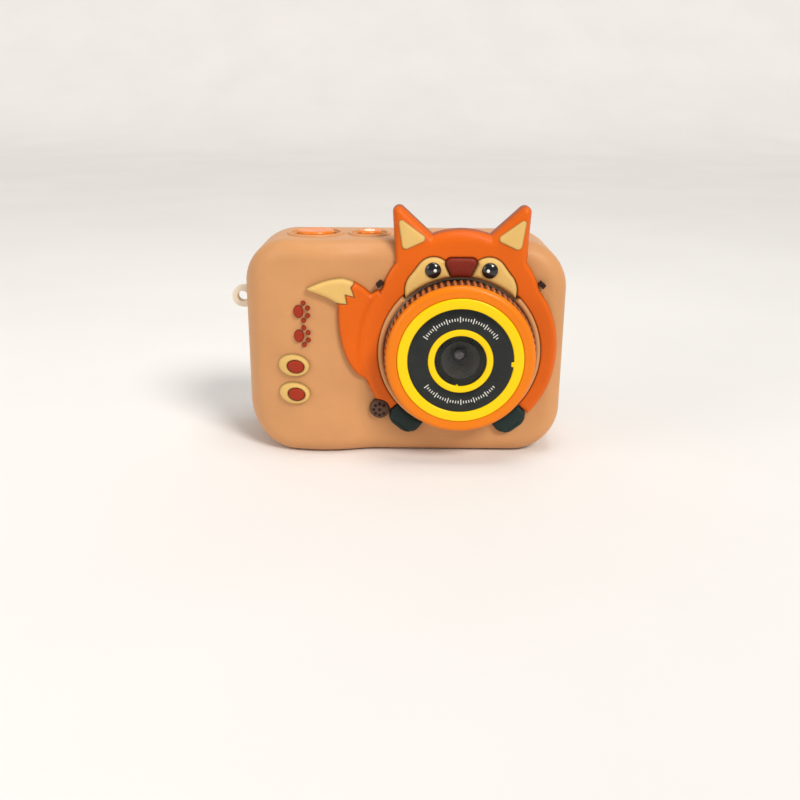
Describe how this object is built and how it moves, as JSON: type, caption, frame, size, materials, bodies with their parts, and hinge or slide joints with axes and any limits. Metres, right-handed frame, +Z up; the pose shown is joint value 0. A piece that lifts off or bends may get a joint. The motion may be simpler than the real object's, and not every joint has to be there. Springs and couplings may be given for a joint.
{
  "type": "kids digital camera",
  "caption": "Small children's digital camera in a soft silicone sleeve with a fox figure round the lens, a side grip, a screen and keys on the back, and a strap eye.",
  "frame": {"origin": "centre of the flat base, midway between the flat front and the rear lip of the sleeve", "axes": "+Z up; the lens looks along -Y; +X to the right of someone facing the lens"},
  "size_m": [0.0992, 0.0415, 0.074],
  "materials": {
    "sleeve_tan": "soft matt silicone, peach tan",
    "fox_orange": "soft matt silicone, orange",
    "fox_cream": "soft matt silicone, cream",
    "fox_brown": "soft matt silicone, red-brown",
    "boot_green": "soft matt silicone, very dark green",
    "ball_brown": "soft matt silicone, grey-brown",
    "spot_brown": "soft matt silicone, dark brown",
    "eye_black": "glossy black",
    "eye_white": "glossy white",
    "barrel_orange": "satin orange ABS",
    "knurl_brown": "burnt orange ABS, ribbed",
    "bezel_yellow": "glossy yellow ABS",
    "plate_black": "glossy black with fine white tick marks",
    "hood_black": "matt black ABS",
    "window_clear": "clear acrylic",
    "lens_glass": "coated lens",
    "screen_glass": "smoked clear acrylic over the screen",
    "housing_white": "fine-textured cream ABS",
    "key_orange": "satin orange ABS",
    "metal": "plated steel",
    "board_green": "circuit board",
    "cell_silver": "pouch cell foil",
    "foam": "foam tape",
    "flex_amber": "flat flexible cable",
    "wire_red": "insulated wire",
    "card_black": "moulded memory card"
  },
  "bodies": {
    "root": {"silicone_sleeve": "sleeve_tan", "fox_body": "fox_orange", "tail_tip": "fox_cream", "face_mask": "fox_cream", "fox_nose": "fox_brown", "fox_eyes": "eye_black", "eye_glints": "eye_white", "inner_ears": "fox_cream", "cheek_tabs": "spot_brown", "fox_boots": "boot_green", "spotted_ball": "ball_brown", "ball_spots": "spot_brown", "grip_pads": "fox_cream", "grip_pad_centres": "fox_brown", "grip_motif": "fox_brown", "front_housing": "housing_white", "rear_housing": "housing_white", "housing_screws": "metal", "strap_lug": "housing_white", "lens_barrel": "knurl_brown", "barrel_screws": "metal", "knurled_ring": "knurl_brown", "front_ring": "barrel_orange", "yellow_bezel": "bezel_yellow", "lens_plate": "plate_black", "inner_yellow_ring": "bezel_yellow", "lens_window": "window_clear", "lens_hood": "hood_black", "objective_lens": "lens_glass", "camera_module": "hood_black", "camera_ribbon": "flex_amber", "main_board": "board_green", "battery": "cell_silver", "battery_pad": "foam", "battery_leads": "wire_red", "lcd_module": "foam", "lcd_cushion": "foam", "lcd_ribbon": "flex_amber", "screen_window": "screen_glass", "speaker": "foam", "microphone": "metal", "key_switches": "metal", "shutter_switch": "metal", "power_switch": "metal", "usb_port": "metal", "card_socket": "metal"},
    "shutter_button": {"shutter_button": "key_orange"},
    "power_button": {"power_button": "key_orange"},
    "mode_key": {"mode_key": "key_orange"},
    "play_key": {"play_key": "key_orange"},
    "up_key": {"up_key": "key_orange"},
    "down_key": {"down_key": "key_orange"},
    "left_key": {"left_key": "key_orange"},
    "right_key": {"right_key": "key_orange"},
    "ok_key": {"ok_key": "key_orange"},
    "memory_card": {"memory_card": "card_black"}
  },
  "joints": [
    {"name": "shutter_button_press", "type": "slide", "parent": "root", "child": "shutter_button", "axis": [0, 0, -1], "range_m": [0, 0.0008], "stiffness_N_per_m": 250, "springref_m": -0.002},
    {"name": "power_button_press", "type": "slide", "parent": "root", "child": "power_button", "axis": [0, 0, -1], "range_m": [0, 0.0008], "stiffness_N_per_m": 250, "springref_m": -0.002},
    {"name": "mode_key_press", "type": "slide", "parent": "root", "child": "mode_key", "axis": [0, -1, 0], "range_m": [0, 0.0006], "stiffness_N_per_m": 250, "springref_m": -0.002},
    {"name": "play_key_press", "type": "slide", "parent": "root", "child": "play_key", "axis": [0, -1, 0], "range_m": [0, 0.0006], "stiffness_N_per_m": 250, "springref_m": -0.002},
    {"name": "up_key_press", "type": "slide", "parent": "root", "child": "up_key", "axis": [0, -1, 0], "range_m": [0, 0.0006], "stiffness_N_per_m": 250, "springref_m": -0.002},
    {"name": "down_key_press", "type": "slide", "parent": "root", "child": "down_key", "axis": [0, -1, 0], "range_m": [0, 0.0006], "stiffness_N_per_m": 250, "springref_m": -0.002},
    {"name": "left_key_press", "type": "slide", "parent": "root", "child": "left_key", "axis": [0, -1, 0], "range_m": [0, 0.0006], "stiffness_N_per_m": 250, "springref_m": -0.002},
    {"name": "right_key_press", "type": "slide", "parent": "root", "child": "right_key", "axis": [0, -1, 0], "range_m": [0, 0.0006], "stiffness_N_per_m": 250, "springref_m": -0.002},
    {"name": "ok_key_press", "type": "slide", "parent": "root", "child": "ok_key", "axis": [0, -1, 0], "range_m": [0, 0.0006], "stiffness_N_per_m": 250, "springref_m": -0.002},
    {"name": "card_eject", "type": "slide", "parent": "root", "child": "memory_card", "axis": [1, 0, 0], "range_m": [0, 0.012]}
  ]
}
